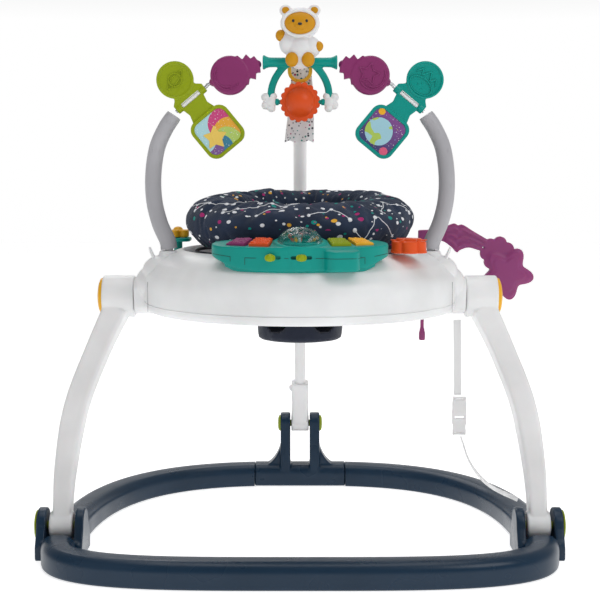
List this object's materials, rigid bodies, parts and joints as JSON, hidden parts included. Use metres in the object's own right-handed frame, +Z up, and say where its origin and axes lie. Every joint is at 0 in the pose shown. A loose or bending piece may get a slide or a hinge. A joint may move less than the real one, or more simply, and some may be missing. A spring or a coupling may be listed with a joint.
{
  "type": "activity jumper",
  "caption": "Free-standing folding baby jumper: a floor ring and three legs hold a round play tray with a sprung, turning padded seat under an arch of hanging toys.",
  "frame": {"origin": "on the floor, at the middle of the footprint", "axes": "+Z up, +X to the right of someone facing the tray's console, +Y from the console towards the rear leg"},
  "size_m": [0.814, 0.675, 0.832],
  "materials": {
    "navy_plastic": "satin moulded navy plastic",
    "white_plastic": "satin white moulded plastic",
    "grey_soft": "soft matt grey sleeve with raised marks",
    "lime_plastic": "satin lime plastic",
    "teal_plastic": "satin teal plastic",
    "yellow_plastic": "satin yellow plastic",
    "purple_plastic": "satin purple plastic",
    "orange_plastic": "satin orange plastic",
    "steel": "bright steel wire",
    "navy_fabric": "woven navy cotton with printed dots and lines",
    "toy_white": "soft white moulded toy",
    "ochre_plastic": "soft ochre moulded toy",
    "clear_plastic": "clear glossy dome",
    "picture_sky": "printed swirl of colour bands",
    "picture_space": "printed night sky with plain discs",
    "webbing": "white woven webbing",
    "ribbon_fabric": "pale cloth with coloured specks"
  },
  "bodies": {
    "base": {"base_front_rail": "navy_plastic", "base_rear_left_rail": "navy_plastic", "base_rear_right_rail": "navy_plastic", "left_foot_hub": "navy_plastic", "right_foot_hub": "navy_plastic", "left_foot_pin": "lime_plastic", "right_foot_pin": "lime_plastic", "rear_bracket": "navy_plastic", "rear_bracket_pin": "lime_plastic"},
    "legs": {"left_leg": "white_plastic", "right_leg": "white_plastic", "strap_upper": "webbing", "strap_buckle": "white_plastic", "strap_lower": "webbing"},
    "left_button": {"left_fold_button": "yellow_plastic"},
    "right_button": {"right_fold_button": "yellow_plastic"},
    "rear_leg": {"rear_sleeve": "white_plastic", "rear_leg_post": "white_plastic"},
    "latch": {"rear_latch": "white_plastic"},
    "tray": {"tray_top": "white_plastic", "tray_bottom": "white_plastic", "rear_socket": "white_plastic", "toy_post": "white_plastic", "console": "teal_plastic", "dome": "clear_plastic", "flower_stem": "teal_plastic", "left_arm": "grey_soft", "right_arm": "grey_soft", "left_arch_rod": "steel", "right_arch_rod": "steel", "toy_yoke": "teal_plastic", "left_cloud": "white_plastic", "right_cloud": "white_plastic", "toy_figure": "toy_white", "toy_face": "ochre_plastic", "toy_clip": "yellow_plastic", "toy_ribbon": "ribbon_fabric"},
    "carrier": {"seat_carrier": "white_plastic", "spring_1": "steel", "spring_2": "steel", "spring_3": "steel"},
    "seat": {"seat_ring": "white_plastic", "seat_pad": "navy_fabric", "seat_sling": "navy_fabric"},
    "flower": {"flower": "yellow_plastic"},
    "roller": {"roller": "orange_plastic"},
    "teether": {"teether": "purple_plastic"},
    "left_charm": {"left_charm": "lime_plastic", "left_charm_picture": "picture_sky"},
    "right_charm": {"right_charm": "teal_plastic", "right_charm_picture": "picture_space"},
    "left_spinner": {"left_spinner": "purple_plastic"},
    "right_spinner": {"right_spinner": "purple_plastic"},
    "sun": {"sun": "orange_plastic"},
    "slider_1": {"slider_1": "lime_plastic"},
    "slider_2": {"slider_2": "lime_plastic"},
    "key_purple": {"key_purple": "purple_plastic"},
    "key_orange": {"key_orange": "orange_plastic"},
    "key_lime": {"key_lime": "lime_plastic"},
    "key_yellow": {"key_yellow": "yellow_plastic"}
  },
  "joints": [
    {"name": "leg_fold", "type": "hinge", "parent": "base", "child": "legs", "pos_m": [0, -0.147, 0.045], "axis": [1, 0, 0], "range_deg": [0, 90]},
    {"name": "tray_fold", "type": "hinge", "parent": "legs", "child": "tray", "pos_m": [0, -0.047, 0.388], "axis": [1, 0, 0], "range_deg": [-90, 0]},
    {"name": "rear_leg_fold", "type": "hinge", "parent": "base", "child": "rear_leg", "pos_m": [0, 0.3125, 0.115], "axis": [1, 0, 0], "range_deg": [0, 62.2]},
    {"name": "seat_bounce", "type": "slide", "parent": "tray", "child": "carrier", "axis": [0, 0, 1], "range_m": [-0.03, 0.02], "stiffness_N_per_m": 3000, "springref_m": 0.003, "deforming": ["spring_1", "spring_2", "spring_3"]},
    {"name": "seat_spin", "type": "hinge", "parent": "carrier", "child": "seat", "pos_m": [0, -0.047, 0.445], "axis": [0, 0, 1], "continuous": true},
    {"name": "left_button_press", "type": "slide", "parent": "legs", "child": "left_button", "axis": [1, 0, 0], "range_m": [0, 0.003], "stiffness_N_per_m": 600},
    {"name": "right_button_press", "type": "slide", "parent": "legs", "child": "right_button", "axis": [-1, 0, 0], "range_m": [0, 0.003], "stiffness_N_per_m": 600},
    {"name": "latch_slide", "type": "slide", "parent": "rear_leg", "child": "latch", "axis": [0, -0.2699, 0.9629], "range_m": [0, 0.0025], "stiffness_N_per_m": 400},
    {"name": "key_purple_press", "type": "slide", "parent": "tray", "child": "key_purple", "axis": [0, 0, 1], "range_m": [-0.002, 0], "stiffness_N_per_m": 500},
    {"name": "key_orange_press", "type": "slide", "parent": "tray", "child": "key_orange", "axis": [0, 0, 1], "range_m": [-0.002, 0], "stiffness_N_per_m": 500},
    {"name": "key_lime_press", "type": "slide", "parent": "tray", "child": "key_lime", "axis": [0, 0, 1], "range_m": [-0.002, 0], "stiffness_N_per_m": 500},
    {"name": "key_yellow_press", "type": "slide", "parent": "tray", "child": "key_yellow", "axis": [0, 0, 1], "range_m": [-0.002, 0], "stiffness_N_per_m": 500},
    {"name": "slider_1_move", "type": "slide", "parent": "tray", "child": "slider_1", "axis": [1, 0, 0], "range_m": [-0.008, 0.008]},
    {"name": "slider_2_move", "type": "slide", "parent": "tray", "child": "slider_2", "axis": [1, 0, 0], "range_m": [-0.008, 0.008]},
    {"name": "flower_spin", "type": "hinge", "parent": "tray", "child": "flower", "pos_m": [-0.2, 0.04, 0.483], "axis": [0, 0, 1], "continuous": true},
    {"name": "roller_spin", "type": "hinge", "parent": "tray", "child": "roller", "pos_m": [0.16, -0.195, 0.476], "axis": [0, 0, 1], "continuous": true},
    {"name": "teether_swing", "type": "hinge", "parent": "tray", "child": "teether", "pos_m": [0.204, 0.066, 0.48], "axis": [0, 0, 1], "range_deg": [-20, 20]},
    {"name": "left_charm_swing", "type": "hinge", "parent": "tray", "child": "left_charm", "pos_m": [-0.167, -0.087, 0.695], "axis": [0.771, 0, 0.6369], "range_deg": [-60, 60]},
    {"name": "left_spinner_spin", "type": "hinge", "parent": "tray", "child": "left_spinner", "pos_m": [-0.099, -0.087, 0.7345], "axis": [0.9293, 0, 0.3693], "continuous": true},
    {"name": "right_charm_swing", "type": "hinge", "parent": "tray", "child": "right_charm", "pos_m": [0.167, -0.087, 0.695], "axis": [-0.771, 0, 0.6369], "range_deg": [-60, 60]},
    {"name": "right_spinner_spin", "type": "hinge", "parent": "tray", "child": "right_spinner", "pos_m": [0.099, -0.087, 0.7345], "axis": [-0.9293, 0, 0.3693], "continuous": true},
    {"name": "sun_spin", "type": "hinge", "parent": "tray", "child": "sun", "pos_m": [0, -0.087, 0.691], "axis": [1, 0, 0], "continuous": true}
  ],
  "couplings": [
    {"joint": "tray_fold", "follows": "leg_fold", "ratio": -1},
    {"joint": "rear_leg_fold", "follows": "leg_fold", "ratio": 0.69}
  ]
}
